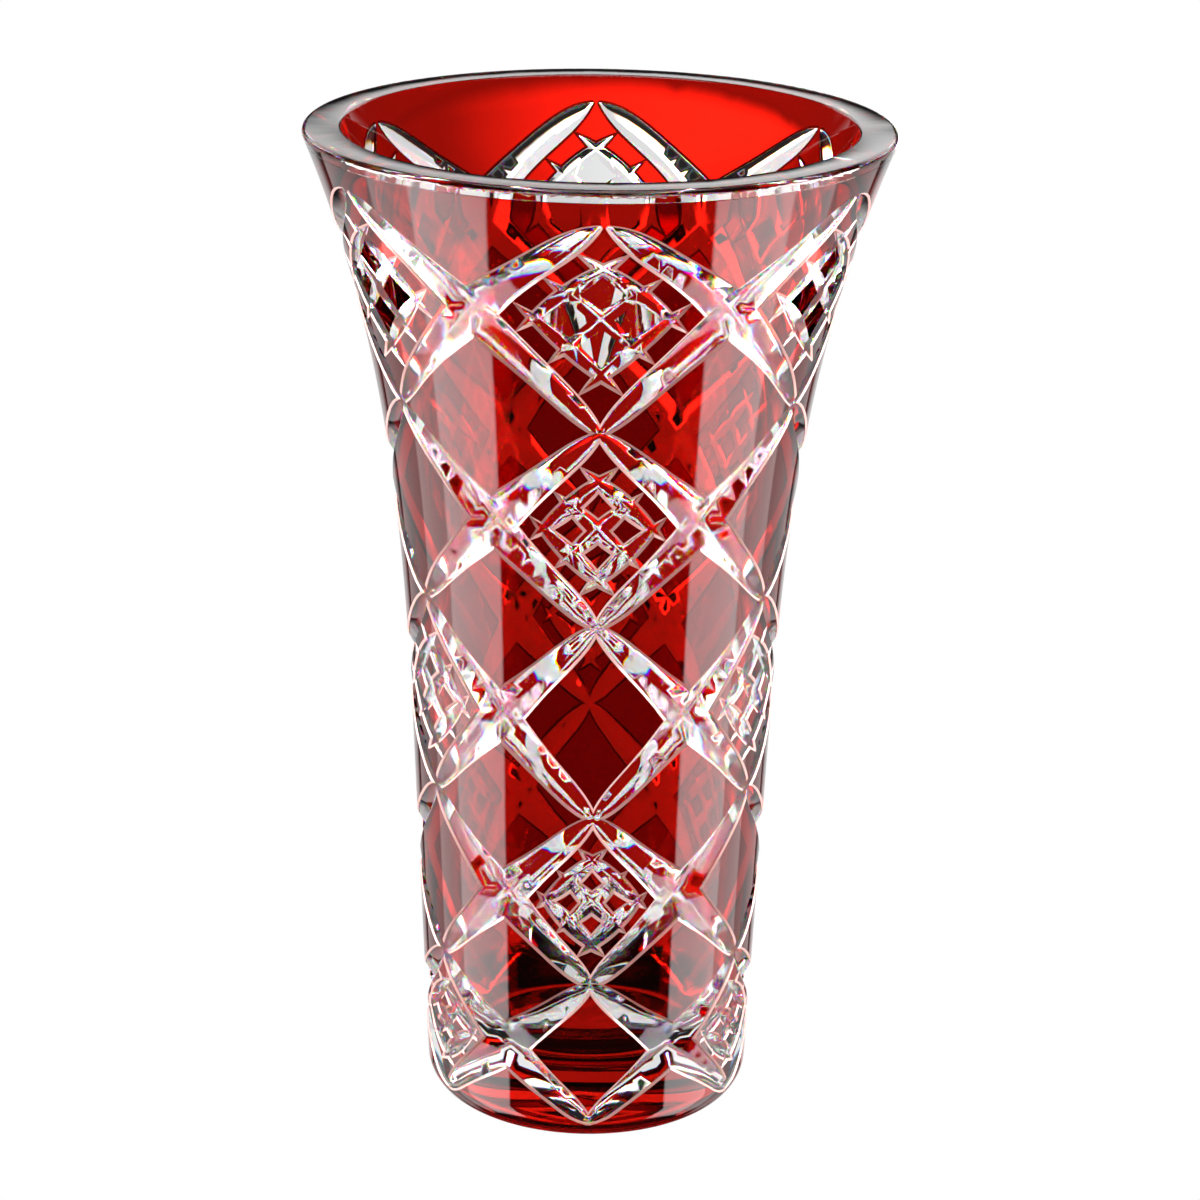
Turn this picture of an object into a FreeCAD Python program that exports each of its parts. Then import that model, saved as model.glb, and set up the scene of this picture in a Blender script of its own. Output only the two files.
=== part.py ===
"""Cut crystal vase: a clear crystal body under a ruby skin that V cuts divide into islands.

Millimetres, +Z up, origin at the middle of the foot, column 1 of the pattern facing -Y.
Each cut is one V-shaped groove along a slanting line from one full column to the next.
Azimuths are counted in columns: column 1 is at 0, column 2 at 1, side diamonds in between.
"""
import FreeCAD, Part
import math
import os

V = FreeCAD.Vector
ORIGIN = V(0, 0, 0)
UP = V(0, 0, 1)

# Outside of the vessel
height = 300.0
rim_radius = 86.4
foot_radius = 48.4            # the side's line carried down to the foot plane
side_lean = 0.045             # how far the side leans out for each millimetre up
flare_start = 100.0           # where the flare leaves the leaning side
base_rounding = 10.6
rim_outer_rounding = 1.6
rim_inner_rounding = 1.0

# Inside and foot
rim_wall = 11.8               # width of the flat rim
side_wall = 9.5               # wall across the leaning part of the side
floor_thickness = 22.0
floor_rounding = 20.0
foot_ring_width = 9.0         # flat polished ring that the vase rests on
foot_hollow = 1.2             # rise of the underside at its middle

# Ruby skin
skin = 0.5
rim_clear = 3.6               # clear glass left between the skin and the top of the rim
skin_start_angle = 32.0       # where the skin begins on the base rounding, degrees from its foot

# Pattern: full columns, and rows of diamonds counted from the top
columns = 6
top_apex_below_rim = 10.2
row_heights = (63.5, 59.5, 60.0, 53.5, 45.5)
crossing_shares = (0.455, 0.5, 0.5, 0.5, 0.5)   # of a row's height, where neighbouring cuts cross
hatched_rows = ((1, 2, 4), (1, 3, 5))           # in the odd columns, and in the even ones

# Large cuts
v_angle = 117.0
crossing_depth = 4.0
shoulder_depth = 2.05
shoulder_share = 0.15         # of the way from a tip to the crossing
tip_depth = 0.35
tip_overrun = 1.5             # how far a cut runs on past the vertex that it ends at
apex_gap = 0.8                # how far short of its apex a cut of the top row stops

# Small cuts that hatch a diamond
hatch_count = 3
hatch_depth = 1.9
hatch_tail_depth = 0.12       # where a small cut meets the large cuts beside it

tool_clearance = 1.6          # how far a cutting tool stands proud of the glass
seam_turn = 3.4               # keeps the solids' seams off the pattern's vertices, degrees

pitch = 360.0 / columns
rows = range(1, len(row_heights) + 1)
lean_length = math.hypot(1.0, side_lean)
v_spread = math.tan(math.radians(v_angle / 2))


# The outside line of the vessel

def side_radius(z):
    """Radius of the side at height z: a straight lean plus a cubic flare."""
    flare = rim_radius - foot_radius - side_lean * height
    rise = max(0.0, (z - flare_start) / (height - flare_start))
    return foot_radius + side_lean * z + flare * rise ** 3


def rounding_centre(side_at_zero, level, rho):
    """Centre of the arc that joins a level floor to the leaning side."""
    z = level + rho
    return V(side_at_zero + side_lean * z - rho * lean_length, 0, z)


def outer_radius(z):
    """Radius of the outside at height z, with the base rounding."""
    centre = rounding_centre(foot_radius, 0.0, base_rounding)
    if z < centre.z - base_rounding * side_lean / lean_length:
        return centre.x + math.sqrt(base_rounding ** 2 - (centre.z - z) ** 2)
    return side_radius(z)


# Outlines in the XZ plane

def on_arc(centre, rho, angle):
    """Point at rho from centre, angle degrees round from straight down."""
    turn = math.radians(angle)
    return V(centre.x + rho * math.sin(turn), 0, centre.z - rho * math.cos(turn))


def arc_edge(centre, rho, start, end):
    """Arc between two angles, in degrees round from straight down."""
    return Part.Arc(*[on_arc(centre, rho, a) for a in (start, (start + end) / 2, end)]).toShape()


def rounding_edge(centre, rho, start=0.0):
    """Arc from an angle to where it meets the leaning side."""
    return arc_edge(centre, rho, start, math.degrees(math.atan2(1.0, side_lean)))


def flare_edge(low_radius, high_radius, z_from, z_to):
    """Cubic flare between two heights; it leaves flare_start along the side's lean."""
    rise = height - flare_start
    start = V(low_radius, 0, flare_start)
    step = V(side_lean * rise / 3, 0, rise / 3)
    curve = Part.BezierCurve()
    curve.setPoles([start, start + step, start + step * 2, V(high_radius, 0, height)])
    curve.segment((z_from - flare_start) / rise, (z_to - flare_start) / rise)
    return curve.toShape()


def first(edge):
    """Start point of an edge's curve."""
    return edge.valueAt(edge.FirstParameter)


def last(edge):
    """End point of an edge's curve."""
    return edge.valueAt(edge.LastParameter)


def skin_side(inset):
    """Outside line moved in by inset, over the stretch that the ruby skin covers."""
    centre = rounding_centre(foot_radius, 0.0, base_rounding)
    arc = rounding_edge(centre, base_rounding - inset, skin_start_angle)
    shift = inset * lean_length
    flare = flare_edge(side_radius(flare_start) - shift, rim_radius - shift,
                       flare_start, height - rim_clear)
    return [arc, Part.makeLine(last(arc), first(flare)), flare]


def cavity_edges():
    """Inside line of the vessel from the rim down to the middle of the floor."""
    low = side_radius(flare_start) - side_wall
    flare = flare_edge(low, rim_radius - rim_wall, flare_start, height)
    centre = rounding_centre(foot_radius - side_wall, floor_thickness, floor_rounding)
    arc = rounding_edge(centre, floor_rounding)
    straight = Part.makeLine(first(flare), last(arc))
    floor = Part.makeLine(first(arc), V(0, 0, floor_thickness))
    return [flare, straight, arc, floor]


def foot_edges():
    """Underside: a shallow hollow, the flat ring round it and the start of the base rounding."""
    centre = rounding_centre(foot_radius, 0.0, base_rounding)
    ring_inner = centre.x - foot_ring_width
    rho = (ring_inner ** 2 + foot_hollow ** 2) / (2 * foot_hollow)
    hollow = Part.Arc(V(0, 0, foot_hollow), V(ring_inner / 2, 0, hollow_rise(ring_inner / 2, rho)),
                      V(ring_inner, 0, 0)).toShape()
    ring = Part.makeLine(V(ring_inner, 0, 0), V(centre.x, 0, 0))
    return [hollow, ring, arc_edge(centre, base_rounding, 0.0, skin_start_angle)]


def hollow_rise(x, rho):
    """Height of the hollow underside, an arc of radius rho, at x from the axis."""
    return foot_hollow - rho + math.sqrt(rho ** 2 - x ** 2)


def revolved(edges):
    """Solid of revolution of a closed outline."""
    solid = Part.Face(Part.Wire(edges)).revolve(ORIGIN, UP, 360.0)
    solid.rotate(ORIGIN, UP, seam_turn)
    return solid


def skin_blank():
    """The ruby skin before it is cut."""
    outer = skin_side(0.0)
    inner = skin_side(skin)
    foot_end = Part.makeLine(first(inner[0]), first(outer[0]))
    rim_end = Part.makeLine(last(outer[-1]), last(inner[-1]))
    return revolved([foot_end] + outer + [rim_end] + inner[::-1])


def crystal_blank():
    """The clear body before it is cut, with a recess that the ruby skin fills."""
    foot = foot_edges()
    recess = skin_side(skin)
    rim_side = flare_edge(side_radius(flare_start), rim_radius, height - rim_clear, height)
    cavity = cavity_edges()
    step_in = Part.makeLine(last(foot[-1]), first(recess[0]))
    step_out = Part.makeLine(last(recess[-1]), first(rim_side))
    rim = Part.makeLine(last(rim_side), last(cavity[0]))
    axis = Part.makeLine(V(0, 0, floor_thickness), V(0, 0, foot_hollow))
    return rounded_rim(revolved(foot + [step_in] + recess + [step_out, rim_side, rim]
                                + cavity + [axis]))


def rounded_rim(blank):
    """Round the two edges of the flat rim."""
    for radius, rho in ((rim_radius, rim_outer_rounding),
                        (rim_radius - rim_wall, rim_inner_rounding)):
        edges = [edge for edge in blank.Edges if is_rim_circle(edge, radius)]
        blank = blank.makeFillet(rho, edges)
    return blank


def is_rim_circle(edge, radius):
    """Whether an edge is the full circle of this radius at the top of the rim."""
    at_top = edge.BoundBox.ZMin > height - 0.001
    return at_top and abs(edge.Length - 2 * math.pi * radius) < 0.01


# The pattern's lattice

def row_top(row):
    """Height of the full columns' vertices above a row."""
    return height - top_apex_below_rim - sum(row_heights[:row - 1])


def row_level(row, share):
    """Height at a share of the way down a row, as one smooth curve through its crossing."""
    top = row_top(row)
    bottom = row_top(row + 1)
    crossing = top - row_heights[row - 1] * crossing_shares[row - 1]
    return (top * (1 - share) * (1 - 2 * share) + crossing * 4 * share * (1 - share)
            + bottom * share * (2 * share - 1))


def on_glass(azimuth, z):
    """Point on the outside at an azimuth in columns, and the outward normal there."""
    turn = math.radians(azimuth * pitch)
    slope = (outer_radius(z + 0.01) - outer_radius(z - 0.01)) / 0.02
    out = V(math.sin(turn), -math.cos(turn), 0)
    normal = out - UP * slope
    return out * outer_radius(z) + UP * z, normal.normalize()


def turned(shape, azimuth):
    """Copy of a shape turned by an azimuth in columns."""
    copy = shape.copy()
    copy.rotate(ORIGIN, UP, azimuth * pitch)
    return copy


def hatched(row, column):
    """Whether the full diamond of a row and column carries small cuts."""
    return row in hatched_rows[(column - 1) % 2]


# Cutting tools

def v_section(place, forward, normal, depth):
    """Triangle across a cut: its point depth below the glass, its wide end clear of it."""
    across = forward.cross(normal).normalize()
    lip = place + normal * tool_clearance
    half = (depth + tool_clearance) * v_spread
    corners = [place - normal * depth, lip + across * half, lip - across * half]
    return Part.makePolygon(corners + corners[:1])


def cut_tool(path, stations):
    """Solid lofted through V sections; a station is a share of the path and a depth."""
    sections = []
    for share, depth in stations:
        place, normal = on_glass(*path(share))
        forward = on_glass(*path(share + 0.001))[0] - on_glass(*path(share - 0.001))[0]
        sections.append(v_section(place, forward, normal, depth))
    tool = Part.makeLoft(sections, True)
    return tool if tool.Volume > 0 else tool.reversed()


def path_length(path, steps=12):
    """Length on the glass of a path from share 0 to share 1."""
    points = [on_glass(*path(i / steps))[0] for i in range(steps + 1)]
    return sum((b - a).Length for a, b in zip(points, points[1:]))


def large_depth(share):
    """Depth of a large cut at a share of its length, between its shoulders."""
    inward = (2 * min(share, 1 - share) - shoulder_share) / (1 - shoulder_share)
    return shoulder_depth + (crossing_depth - shoulder_depth) * inward


def large_tool(row, side):
    """One large cut, from column 1 down a row to the next column; side is 1 or -1."""
    def path(share):
        return side * share, row_level(row, share)

    length = path_length(path)
    start = apex_gap if row == 1 else -tip_overrun
    shoulder = shoulder_share / 2
    stations = [(start / length, tip_depth)]
    stations += [(share, large_depth(share)) for share in (shoulder, 0.25, 0.5, 0.75, 1 - shoulder)]
    return cut_tool(path, stations + [(1 + tip_overrun / length, tip_depth)])


def hatch_tool(row, across, side):
    """One small cut of column 1's diamond, across it at a share of its width.

    Its tails end on the outlines of the large cuts on either side.
    """
    def path(share):
        return side * (across - share) / 2, row_level(row, (across + share) / 2)

    edge = path_length(path)
    start = large_depth(across / 2) * v_spread / edge
    end = 1 - large_depth((1 - across) / 2) * v_spread / edge
    middle = (start + end) / 2
    return cut_tool(path, [(start, hatch_tail_depth), (middle, hatch_depth), (end, hatch_tail_depth)])


def large_tools(row, side):
    """The large cuts of one row that slant one way, one from each column."""
    tool = large_tool(row, side)
    return [turned(tool, column - 1) for column in range(1, columns + 1)]


def hatch_tools(row, side, where):
    """The small cuts of one row that slant one way, on the columns given."""
    shares = [i / (hatch_count + 1) for i in range(1, hatch_count + 1)]
    tools = [hatch_tool(row, share, side) for share in shares]
    return [turned(tool, column - 1) for tool in tools for column in where]


def hatched_columns(row):
    """The columns whose diamond in a row carries small cuts."""
    return [column for column in range(1, columns + 1) if hatched(row, column)]


def tool_groups():
    """All tools, in groups whose members keep clear of one another."""
    groups = []
    for picked in (rows[0::2], rows[1::2]):
        for side in (1, -1):
            groups.append([tool for row in picked for tool in large_tools(row, side)])
    for side in (1, -1):
        groups.append([tool for row in rows for tool in hatch_tools(row, side, hatched_columns(row))])
    return groups


# The pieces

def crystal_body():
    """The clear body with every cut made in it."""
    body = crystal_blank()
    for group in tool_groups():
        body = body.cut(group)
    return body


def skin_stretch(z_low, z_high, azimuth=0.0, reach=columns / 2):
    """The uncut skin between two heights, up to reach columns either side of an azimuth."""
    block = Part.makeCylinder(2 * rim_radius, z_high - z_low, V(0, 0, z_low), UP, 2 * reach * pitch)
    block.rotate(ORIGIN, UP, (azimuth - reach) * pitch - 90)
    return skin_blank().common(block)


def cut_skin(stretch, near_rows):
    """A stretch of skin with the large cuts of some rows made in it."""
    for row in near_rows:
        for side in (1, -1):
            tools = [tool for tool in large_tools(row, side)
                     if tool.BoundBox.intersect(stretch.BoundBox)]
            stretch = stretch.cut(tools) if tools else stretch
    return stretch


def hatch(skin_piece, row, where):
    """A piece of skin with a row's small cuts made in it, on the columns given."""
    for side in (1, -1):
        skin_piece = skin_piece.cut(hatch_tools(row, side, where))
    return skin_piece


def in_diamond(shape, azimuth, z_low, z_high):
    """The solids of a shape that lie wholly inside the diamond between two heights."""
    def reach(point):
        sideways = abs(math.degrees(math.atan2(point.x, -point.y)) / pitch - azimuth) * 2
        upwards = abs(2 * point.z - z_low - z_high) / (z_high - z_low)
        return sideways + upwards

    inside = [solid for solid in shape.Solids
              if max(reach(vertex.Point) for vertex in solid.Vertexes) < 1.1]
    return Part.makeCompound(inside)


def full_diamond(row):
    """Plain ruby diamond on column 1."""
    stretch = skin_stretch(row_level(row, 1.02), row_level(row, -0.02), 0.0, 0.52)
    near_rows = [near for near in (row - 1, row, row + 1) if near in rows]
    return in_diamond(cut_skin(stretch, near_rows), 0.0, row_top(row + 1), row_top(row))


def side_diamond(row):
    """Ruby diamond half-way between columns 1 and 2, under the crossing of a row."""
    stretch = skin_stretch(row_level(row + 1, 0.52), row_level(row, 0.48), 0.5, 0.52)
    cut = cut_skin(stretch, (row, row + 1))
    return in_diamond(cut, 0.5, row_level(row + 1, 0.5), row_level(row, 0.5))


def rim_band():
    """Ruby round the rim; it runs down between the top cuts into the top row's diamonds."""
    stretch = skin_stretch(row_level(1, 1.02), height)
    cut = hatch(cut_skin(stretch, (1, 2)), 1, hatched_columns(1))
    return max(cut.Solids, key=lambda solid: solid.BoundBox.ZMax)


def base_band():
    """Ruby round the base, below the bottom row of cuts."""
    stretch = skin_stretch(0.0, row_level(rows[-1], 0.48))
    return min(cut_skin(stretch, rows[-1:]).Solids, key=lambda solid: solid.BoundBox.ZMin)


def ruby_islands():
    """Every island of the ruby skin, by name."""
    pieces = {"ruby_rim_band": rim_band(), "ruby_base_band": base_band()}
    for row in rows[1:]:
        plain = full_diamond(row)
        with_cuts = hatch(plain, row, [1])
        for column in range(1, columns + 1):
            kind, diamond = ("hatched", with_cuts) if hatched(row, column) else ("plain", plain)
            pieces[f"ruby_{kind}_diamond_row{row}_column{column}"] = turned(diamond, column - 1)
    for row in rows[:-1]:
        diamond = side_diamond(row)
        for column in range(1, columns + 1):
            pieces[f"ruby_side_diamond_row{row}_after_column{column}"] = turned(diamond, column - 1)
    return pieces


def main():
    """Write one STEP file for each piece."""
    os.makedirs("parts", exist_ok=True)
    pieces = ruby_islands()
    pieces["crystal_body"] = crystal_body()
    for name, shape in pieces.items():
        solids = shape.Solids
        whole = solids[0] if len(solids) == 1 else Part.makeCompound(solids)
        whole.exportStep(f"parts/{name}.step")
        print(name, len(solids), round(shape.Volume, 1), shape.isValid())


if __name__ == "__main__":
    main()
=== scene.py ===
import math

import bmesh
import bpy
import numpy as np
from mathutils import Matrix, Vector


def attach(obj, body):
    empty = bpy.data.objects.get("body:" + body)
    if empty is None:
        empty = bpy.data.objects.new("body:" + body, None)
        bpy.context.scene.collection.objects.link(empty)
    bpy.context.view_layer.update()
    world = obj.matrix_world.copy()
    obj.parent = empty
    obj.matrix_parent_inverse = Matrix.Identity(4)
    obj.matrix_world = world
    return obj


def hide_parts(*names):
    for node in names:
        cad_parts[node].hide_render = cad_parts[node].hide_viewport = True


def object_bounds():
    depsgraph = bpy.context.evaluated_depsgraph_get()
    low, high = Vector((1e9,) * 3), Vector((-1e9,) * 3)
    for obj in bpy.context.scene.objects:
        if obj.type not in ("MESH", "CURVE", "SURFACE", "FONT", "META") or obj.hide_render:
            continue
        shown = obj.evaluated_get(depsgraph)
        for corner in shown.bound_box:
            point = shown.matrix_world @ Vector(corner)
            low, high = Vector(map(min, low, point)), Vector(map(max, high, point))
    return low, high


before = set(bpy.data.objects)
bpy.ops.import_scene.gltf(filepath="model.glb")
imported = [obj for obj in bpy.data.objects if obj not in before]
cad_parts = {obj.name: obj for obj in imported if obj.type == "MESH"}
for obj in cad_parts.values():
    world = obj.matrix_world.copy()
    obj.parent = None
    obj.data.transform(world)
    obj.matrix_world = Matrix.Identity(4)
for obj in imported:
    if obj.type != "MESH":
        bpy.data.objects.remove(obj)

cad_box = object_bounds()
MM = 0.001

# The outside line of the vessel, as part.py draws it, in metres
HEIGHT = cad_box[1].z
RIM_RADIUS = 86.4 * MM
FOOT_RADIUS = 48.4 * MM
SIDE_LEAN = 0.045
FLARE_START = 100.0 * MM
BASE_ROUNDING = 10.6 * MM
SKIN = 0.5 * MM
LEAN_LENGTH = math.hypot(1.0, SIDE_LEAN)

# How faces are told apart
ON_LINE = 0.4 * SKIN             # a face this near a line lies on it
ALONG_LINE = 0.97                # and its normal agrees with the line's by this cosine
CUT_REACH = 7 * MM               # no cut face is deeper than this below the outside
CUT_FACING = 0.3                 # a cut face looks outwards by at least this cosine
CUT_TOP = HEIGHT - 5 * MM
CUT_FOOT = 3 * MM
ON_AXIS = 1e-6 * MM              # keeps the centre of the floor from dividing by nought

# Glass
CRYSTAL_IOR = 1.545
RED_IOR, GREEN_IOR, BLUE_IOR = 1.535, 1.545, 1.558
WAVES, WAVE_HEIGHT = 28.0, 0.08 * MM             # long shallow waves of a fire-polished face
CUT_WAVES, CUT_WAVE_HEIGHT = 60.0, 0.004 * MM    # finer and much flatter on a cut face
EDGE_ROUNDING = 0.3 * MM
SKIN_EDGE_ROUNDING = 0.2 * MM


def outer_line(z, inset=0.0):
    """Radius and slope of the outside at height z, moved in by inset.

    The side is r = foot + lean z + flare s^3 with s the share of the way up from where the flare
    starts; below its own top the base rounding is an arc of radius rounding - inset.
    """
    flare = RIM_RADIUS - FOOT_RADIUS - SIDE_LEAN * HEIGHT
    share = np.maximum(0.0, (z - FLARE_START) / (HEIGHT - FLARE_START))
    radius = FOOT_RADIUS + SIDE_LEAN * z + flare * share ** 3 - inset * LEAN_LENGTH
    slope = SIDE_LEAN + 3 * flare * share ** 2 / (HEIGHT - FLARE_START)
    centre_r = FOOT_RADIUS + SIDE_LEAN * BASE_ROUNDING - BASE_ROUNDING * LEAN_LENGTH
    rho = BASE_ROUNDING - inset
    below = BASE_ROUNDING - z
    on_arc = below > rho * SIDE_LEAN / LEAN_LENGTH
    reach = np.sqrt(np.maximum(rho ** 2 - below ** 2, 1e-12))
    return np.where(on_arc, centre_r + reach, radius), np.where(on_arc, below / reach, slope)


def outer_normals(points):
    """Outward normals of the vessel's outside under the points: (x/r, y/r, -slope), made unit."""
    radius = np.maximum(np.hypot(points[:, 0], points[:, 1]), ON_AXIS)
    slope = outer_line(points[:, 2])[1]
    normals = np.column_stack([points[:, 0] / radius, points[:, 1] / radius, -slope])
    return normals / np.linalg.norm(normals, axis=1, keepdims=True)


def lies_on(centres, normals, inset, facing):
    """Which faces lie on the outside line moved in by inset, looking out (1) or in (-1)."""
    radius, slope = outer_line(centres[:, 2], inset)
    off = (np.hypot(centres[:, 0], centres[:, 1]) - radius) / np.sqrt(1 + slope ** 2)
    along = (normals * outer_normals(centres)).sum(axis=1) * facing
    return (np.abs(off) < ON_LINE) & (along > ALONG_LINE)


# ---------------------------------------------------------------- materials

def new_material(name):
    """Empty node material and its output node."""
    material = bpy.data.materials.new(name)
    material.use_nodes = True
    material.node_tree.nodes.clear()
    return material, material.node_tree.nodes.new("ShaderNodeOutputMaterial")


def surface_group():
    """Node group: normal of a polished face, faintly uneven, with its cut edges slightly rounded.

    Fire and felt polishing leave long shallow waves, and take the sharpness off every cut edge.
    """
    group = bpy.data.node_groups.new("polished_surface", "ShaderNodeTree")
    for name in ("Size", "Height", "Edge"):
        group.interface.new_socket(name, in_out="INPUT", socket_type="NodeSocketFloat")
    group.interface.new_socket("Normal", in_out="OUTPUT", socket_type="NodeSocketVector")
    nodes, links = group.nodes, group.links
    source, out = nodes.new("NodeGroupInput"), nodes.new("NodeGroupOutput")
    place = nodes.new("ShaderNodeTexCoord")
    noise = nodes.new("ShaderNodeTexNoise")
    noise.inputs["Detail"].default_value = 1.0
    bump = nodes.new("ShaderNodeBump")
    bump.inputs["Strength"].default_value = 1.0
    bevel = nodes.new("ShaderNodeBevel")
    bevel.samples = 4
    links.new(source.outputs["Edge"], bevel.inputs["Radius"])
    links.new(place.outputs["Object"], noise.inputs["Vector"])
    links.new(source.outputs["Size"], noise.inputs["Scale"])
    links.new(noise.outputs["Fac"], bump.inputs["Height"])
    links.new(source.outputs["Height"], bump.inputs["Distance"])
    links.new(bevel.outputs["Normal"], bump.inputs["Normal"])
    links.new(bump.outputs["Normal"], out.inputs["Normal"])
    return group


SURFACE = surface_group()


def add_surface(tree, shaders, size, height, edge=EDGE_ROUNDING):
    """Feed the polished surface's normal into some shaders."""
    node = tree.nodes.new("ShaderNodeGroup")
    node.node_tree = SURFACE
    node.inputs["Size"].default_value = size
    node.inputs["Height"].default_value = height
    node.inputs["Edge"].default_value = edge
    for shader in shaders:
        tree.links.new(node.outputs["Normal"], shader.inputs["Normal"])


def polished_glass(name, colour):
    """Polished glass, clear or tinted once per pass."""
    material, out = new_material(name)
    tree = material.node_tree
    shader = tree.nodes.new("ShaderNodeBsdfPrincipled")
    shader.inputs["Base Color"].default_value = (*colour, 1)
    shader.inputs["Roughness"].default_value = 0.0
    shader.inputs["IOR"].default_value = CRYSTAL_IOR
    shader.inputs["Transmission Weight"].default_value = 1.0
    tree.links.new(shader.outputs[0], out.inputs["Surface"])
    add_surface(tree, [shader], WAVES, WAVE_HEIGHT)
    return material


def prism_glass(name):
    """Cut crystal face: one glass for each of red, green and blue, added up, so light fans out."""
    material, out = new_material(name)
    tree = material.node_tree
    shaders = []
    for colour, ior in (((1, 0, 0), RED_IOR), ((0, 1, 0), GREEN_IOR), ((0, 0, 1), BLUE_IOR)):
        shader = tree.nodes.new("ShaderNodeBsdfGlass")
        shader.inputs["Color"].default_value = (*colour, 1)
        shader.inputs["Roughness"].default_value = 0.0
        shader.inputs["IOR"].default_value = ior
        shaders.append(shader)
    total = shaders[0].outputs[0]
    for shader in shaders[1:]:
        add = tree.nodes.new("ShaderNodeAddShader")
        tree.links.new(total, add.inputs[0])
        tree.links.new(shader.outputs[0], add.inputs[1])
        total = add.outputs[0]
    tree.links.new(total, out.inputs["Surface"])
    add_surface(tree, shaders, CUT_WAVES, CUT_WAVE_HEIGHT)
    return material


def passing(name, colour):
    """Face where two glasses are fused: light goes straight through, tinted once."""
    material, out = new_material(name)
    tree = material.node_tree
    shader = tree.nodes.new("ShaderNodeBsdfTransparent")
    shader.inputs["Color"].default_value = (*colour, 1)
    tree.links.new(shader.outputs[0], out.inputs["Surface"])
    return material


def edge_glass_with_painted_highlight(name, colour):
    """The ruby's thinned-out edge on a cut face: half see-through, half a pale pink that is partly the
    thin ruby and partly a painted highlight.
    """
    material, out = new_material(name)
    tree = material.node_tree
    shader = tree.nodes.new("ShaderNodeBsdfPrincipled")
    shader.inputs["Base Color"].default_value = (*colour, 1)
    shader.inputs["Roughness"].default_value = 0.12
    shader.inputs["IOR"].default_value = CRYSTAL_IOR
    shader.inputs["Transmission Weight"].default_value = 0.35
    tree.links.new(shader.outputs[0], out.inputs["Surface"])
    add_surface(tree, [shader], CUT_WAVES, CUT_WAVE_HEIGHT, SKIN_EDGE_ROUNDING)
    return material


CLEAR = polished_glass("polished_crystal", (0.99, 0.995, 1.0))
CUT = prism_glass("cut_crystal")
FUSED = passing("fused_under_ruby", (1, 1, 1))
RUBY = polished_glass("ruby_overlay", (0.8, 0.06, 0.05))
# Pale pink cut edge of the ruby: partly the thin ruby's own colour, partly a painted highlight along
# the edge
RUBY_EDGE_PAINTED_HIGHLIGHT = edge_glass_with_painted_highlight("ruby_cut_edge_painted_highlight", (0.95, 0.55, 0.5))
RUBY_INNER = passing("ruby_fused_face", (0.47, 0.02, 0.008))


# ---------------------------------------------------------------- pieces

JOINING = 0.002 * MM             # corners this near are one
SHARP_FROM = 18                  # degrees between faces from which an edge stays sharp


def in_scene(name, data):
    """New object with this data, put into the scene."""
    thing = bpy.data.objects.new(name, data)
    bpy.context.scene.collection.objects.link(thing)
    return thing


def merged_copy(node, name):
    """Copy of a CAD node's mesh with its loose triangles joined, as a new piece."""
    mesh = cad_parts[node].data.copy()
    mesh.materials.clear()
    piece = in_scene(name, mesh)
    work = bmesh.new()
    work.from_mesh(mesh)
    bmesh.ops.remove_doubles(work, verts=work.verts, dist=JOINING)
    work.to_mesh(mesh)
    work.free()
    return piece


def face_arrays(mesh):
    """Centres and normals of the faces."""
    count = len(mesh.polygons)
    centres, normals = np.empty(count * 3), np.empty(count * 3)
    mesh.polygons.foreach_get("center", centres)
    mesh.polygons.foreach_get("normal", normals)
    return centres.reshape(-1, 3), normals.reshape(-1, 3)


def finish_piece(piece, node, materials, slots, smooth_on):
    """Give a piece its materials, soft and sharp edges, and true normals on the faces smooth_on.

    A zero normal leaves a corner with the one that its edges give it.
    """
    mesh = piece.data
    for material in materials:
        mesh.materials.append(material)
    mesh.polygons.foreach_set("material_index", slots.astype(np.int32))
    mesh.polygons.foreach_set("use_smooth", np.ones(len(mesh.polygons), bool))
    mesh.set_sharp_from_angle(angle=math.radians(SHARP_FROM))
    corners = np.empty(len(mesh.loops), np.int32)
    mesh.loops.foreach_get("vertex_index", corners)
    points = np.empty(len(mesh.vertices) * 3)
    mesh.vertices.foreach_get("co", points)
    points = points.reshape(-1, 3)
    totals = np.empty(len(mesh.polygons), np.int32)
    mesh.polygons.foreach_get("loop_total", totals)
    true_normals = outer_normals(points[corners])
    true_normals[~np.repeat(smooth_on, totals)] = 0.0
    mesh.normals_split_custom_set(true_normals)
    mesh.update()
    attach(piece, "root")
    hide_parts(node)


def make_body(node):
    """The clear body: polished outside the cuts, prismatic in them, fused under the ruby."""
    piece = merged_copy(node, "crystal")
    centres, normals = face_arrays(piece.data)
    under = lies_on(centres, normals, SKIN, 1)
    outside = lies_on(centres, normals, 0.0, 1)
    radius = np.hypot(centres[:, 0], centres[:, 1])
    wall = outer_line(centres[:, 2])[0]
    outward = (normals * outer_normals(centres)).sum(axis=1) > CUT_FACING
    cut = (wall - radius < CUT_REACH) & outward & ~outside & ~under
    cut &= (centres[:, 2] < CUT_TOP) & (centres[:, 2] > CUT_FOOT)
    slots = np.where(under, 2, np.where(cut, 1, 0))
    finish_piece(piece, node, [CLEAR, CUT, FUSED], slots, outside | under)


def make_island(node):
    """One island of the ruby skin: polished outside, a painted highlight in pale pink along its cut
    edges, fused inside.
    """
    piece = merged_copy(node, node.replace("ruby_", "overlay_"))
    centres, normals = face_arrays(piece.data)
    outside = lies_on(centres, normals, 0.0, 1)
    inside = lies_on(centres, normals, SKIN, -1)
    slots = np.where(inside, 2, np.where(outside, 0, 1))
    finish_piece(piece, node, [RUBY, RUBY_EDGE_PAINTED_HIGHLIGHT, RUBY_INNER], slots, outside)


for node_name in sorted(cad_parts):
    if node_name == "crystal_body":
        make_body(node_name)
    else:
        make_island(node_name)


# ---------------------------------------------------------------- studio

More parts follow.
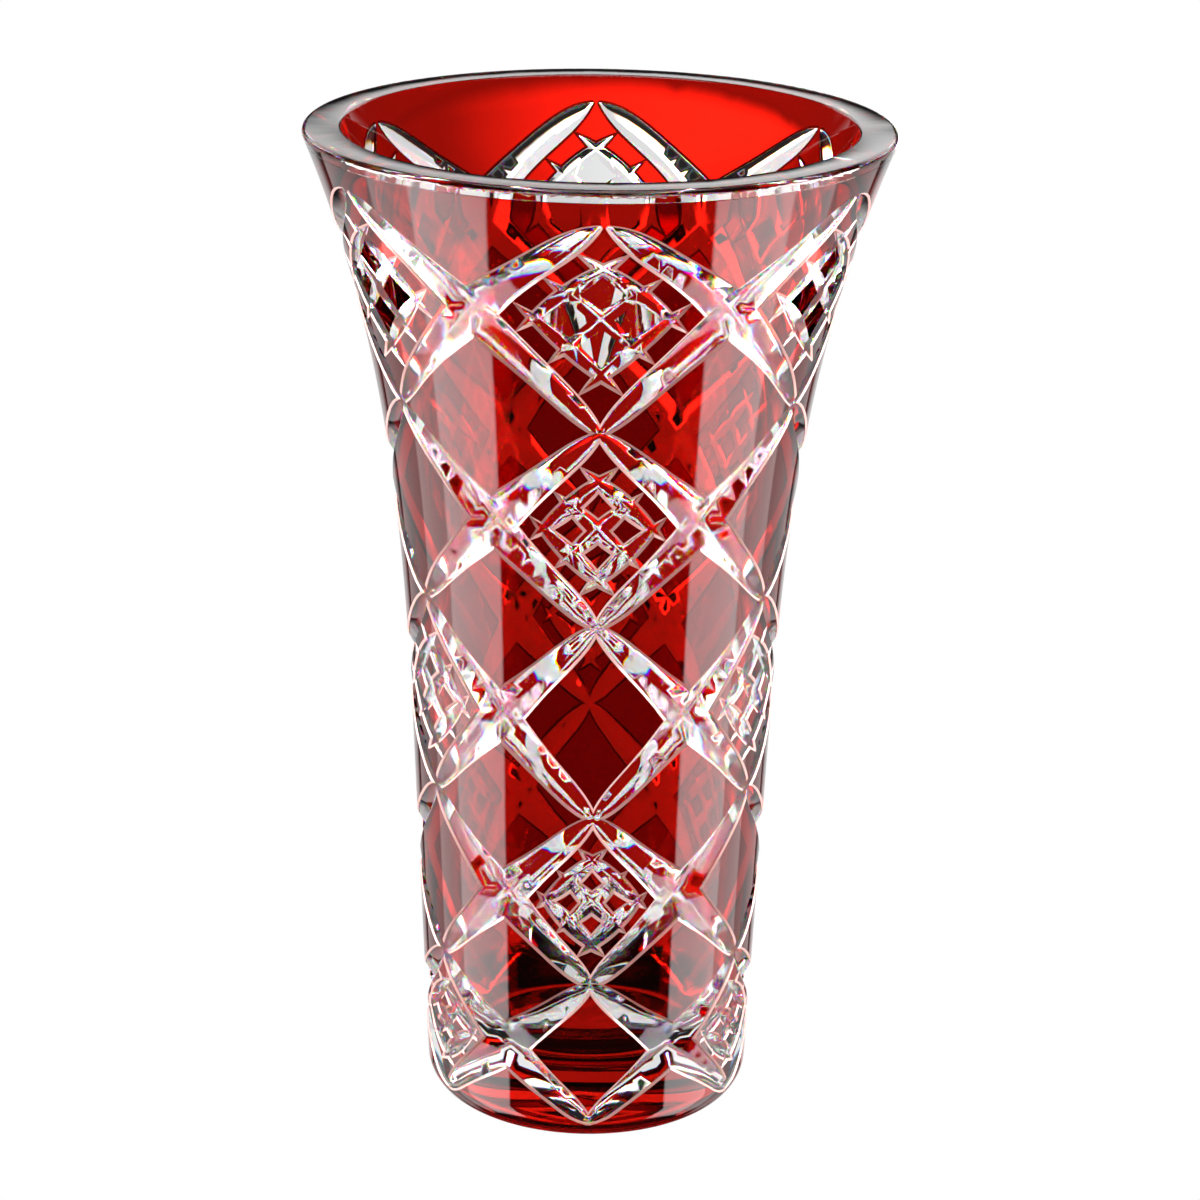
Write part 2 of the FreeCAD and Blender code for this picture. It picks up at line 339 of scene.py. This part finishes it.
# Patches of light by direction: degrees round from the front (low, high, edge), degrees above
# the horizon (low, high, edge), and strength, or a pair of strengths from left to right
LIGHTS = [
    ((150, 200, 6), (-12.4, -8, 0.8), (0.9, 6.0)),      # bright end of the sweep, far behind
    ((156, 200, 5), (-40, -12.4, 1.2), (0.95, 1.05)),   # the sweep nearer by
    ((140, 200, 8), (11, 30, 4), (1.9, 2.4)),           # lit backdrop above it
    ((59, 98, 1.2), (-56, -9, 2), 2.7),                 # on the floor beside the vase, three deep
    ((59, 120, 1.2), (-56, -9, 2), 1.5),
    ((59, 150, 1.2), (-50, 4, 3), 1.0),
    ((-5, 200, 4), (64, 100, 5), 2.5),                  # overhead
]
LEFT, RIGHT = -0.075, 0.07       # sideways share of the direction where a pair begins and ends
DARK = 0.02                      # all the rest of the studio

FLOOR_RADIUS = 4.0
FLOOR_DROP = 0.2 * MM            # below the foot, so that the two don't share a plane
FLOOR_CORNERS = 96

# Soft boxes close to the vase, one on each side
SOFTBOX_DEPTH, SOFTBOX_HEIGHT = 0.42, 0.30
SOFTBOX_PLACE = (0.49, -0.07, 0.20)
LEFT_WATTS, RIGHT_WATTS = 6.5, 7.2

# Camera: focal length and sensor in mm, place in metres, turns in degrees
SENSOR, LENS = 36.0, 119.6
CAMERA_DISTANCE, CAMERA_HEIGHT = 1.1283, 0.5356
ORBIT, YAW, PITCH, ROLL = -1.0224, -0.103, 18.587, 0.909
FARTHEST_SEEN = 50.0


def make_floor():
    """Round floor, radius (cos a, sin a) for turns a, lit so evenly that the camera sees it white."""
    mesh = bpy.data.meshes.new("floor")
    turns = np.linspace(0, 2 * math.pi, FLOOR_CORNERS + 1)[:-1]
    drop = np.full(FLOOR_CORNERS, -FLOOR_DROP)
    rim = np.column_stack([FLOOR_RADIUS * np.cos(turns), FLOOR_RADIUS * np.sin(turns), drop])
    mesh.from_pydata(rim.tolist(), [], [list(range(FLOOR_CORNERS))])
    floor = in_scene("floor", mesh)
    material, out = new_material("floor_white")
    glow = material.node_tree.nodes.new("ShaderNodeEmission")
    glow.inputs["Color"].default_value = (1, 1, 1, 1)
    glow.inputs["Strength"].default_value = 1.0
    material.node_tree.links.new(glow.outputs[0], out.inputs["Surface"])
    mesh.materials.append(material)
    floor.visible_glossy = False
    floor.visible_transmission = False
    floor.visible_diffuse = False


def maths(tree, operation, *values):
    """Math node with numbers or sockets as inputs; returns its output."""
    node = tree.nodes.new("ShaderNodeMath")
    node.operation = operation
    for socket, value in zip(node.inputs, values):
        if isinstance(value, (int, float)):
            socket.default_value = value
        else:
            tree.links.new(value, socket)
    return node.outputs[0]


def ramp(tree, value, low, high, start=0.0, end=1.0):
    """start below low, end above high, smooth between."""
    node = tree.nodes.new("ShaderNodeMapRange")
    node.interpolation_type = "SMOOTHSTEP"
    for socket, number in (("From Min", low), ("From Max", high), ("To Min", start), ("To Max", end)):
        node.inputs[socket].default_value = number
    tree.links.new(value, node.inputs["Value"])
    return node.outputs["Result"]


def window(tree, value, low, high, edge):
    """1 between low and high, 0 outside, with soft edges."""
    rise, fall = ramp(tree, value, low - edge, low + edge), ramp(tree, value, high - edge, high + edge)
    return maths(tree, "SUBTRACT", rise, fall)


def make_world():
    """Dark studio with the patches of light in the glass; the camera itself sees plain white."""
    world = bpy.data.worlds.new("studio")
    bpy.context.scene.world = world
    world.use_nodes = True
    tree = world.node_tree
    tree.nodes.clear()
    out = tree.nodes.new("ShaderNodeOutputWorld")
    back = tree.nodes.new("ShaderNodeBackground")
    tree.links.new(back.outputs[0], out.inputs["Surface"])
    place = tree.nodes.new("ShaderNodeTexCoord")
    split = tree.nodes.new("ShaderNodeSeparateXYZ")
    tree.links.new(place.outputs["Generated"], split.inputs[0])
    x, y = split.outputs["X"], split.outputs["Y"]
    degrees = math.degrees(1.0)
    around = maths(tree, "ARCTAN2", x, maths(tree, "MULTIPLY", y, -1.0))
    turn = maths(tree, "MULTIPLY", degrees, maths(tree, "ABSOLUTE", around))
    rise = maths(tree, "MULTIPLY", degrees, maths(tree, "ARCSINE", split.outputs["Z"]))
    light = DARK
    for turns, rises, strength in LIGHTS:
        patch = maths(tree, "MULTIPLY", window(tree, turn, *turns), window(tree, rise, *rises))
        if isinstance(strength, tuple):
            patch = maths(tree, "MULTIPLY", patch, ramp(tree, x, LEFT, RIGHT, *strength))
            light = maths(tree, "ADD", patch, light)
        else:
            light = maths(tree, "MULTIPLY_ADD", patch, strength, light)
    path = tree.nodes.new("ShaderNodeLightPath")
    seen = tree.nodes.new("ShaderNodeMix")
    seen.data_type = "FLOAT"
    tree.links.new(path.outputs["Is Camera Ray"], seen.inputs[0])
    tree.links.new(light, seen.inputs[2])
    seen.inputs[3].default_value = 1.0
    tree.links.new(seen.outputs[0], back.inputs["Strength"])


def make_side_lights():
    """An upright soft box close to the vase on each side; cut faces that look up mirror them."""
    away, forward, up = SOFTBOX_PLACE
    for side, watts in ((-1, LEFT_WATTS), (1, RIGHT_WATTS)):
        data = bpy.data.lights.new("side_softbox", "AREA")
        data.shape = "RECTANGLE"
        data.size, data.size_y = SOFTBOX_DEPTH, SOFTBOX_HEIGHT
        data.energy = watts
        light = in_scene("side_softbox", data)
        light.location = (side * away, forward, up)
        light.rotation_euler = (math.pi / 2, 0.0, side * math.pi / 2)
        light.visible_camera = False


def make_camera():
    """Long lens above the rim, looking down at the vase."""
    data = bpy.data.cameras.new("camera")
    data.sensor_width = SENSOR
    data.lens = LENS
    data.clip_end = FARTHEST_SEEN
    camera = in_scene("camera", data)
    orbit, yaw, pitch, roll = [math.radians(angle) for angle in (ORBIT, YAW, PITCH, ROLL)]
    place = Matrix.Rotation(orbit, 4, "Z") @ Vector((0, -CAMERA_DISTANCE, CAMERA_HEIGHT))
    look = (Matrix.Rotation(orbit + yaw, 4, "Z") @ Matrix.Rotation(math.pi / 2 - pitch, 4, "X")
            @ Matrix.Rotation(roll, 4, "Z"))
    camera.matrix_world = Matrix.Translation(place) @ look
    bpy.context.scene.camera = camera


make_floor()
make_world()
make_side_lights()
make_camera()
scene = bpy.context.scene
scene.view_settings.view_transform = "Standard"
scene.cycles.max_bounces = 32
scene.cycles.transmission_bounces = 24
scene.cycles.glossy_bounces = 16
scene.cycles.transparent_max_bounces = 48
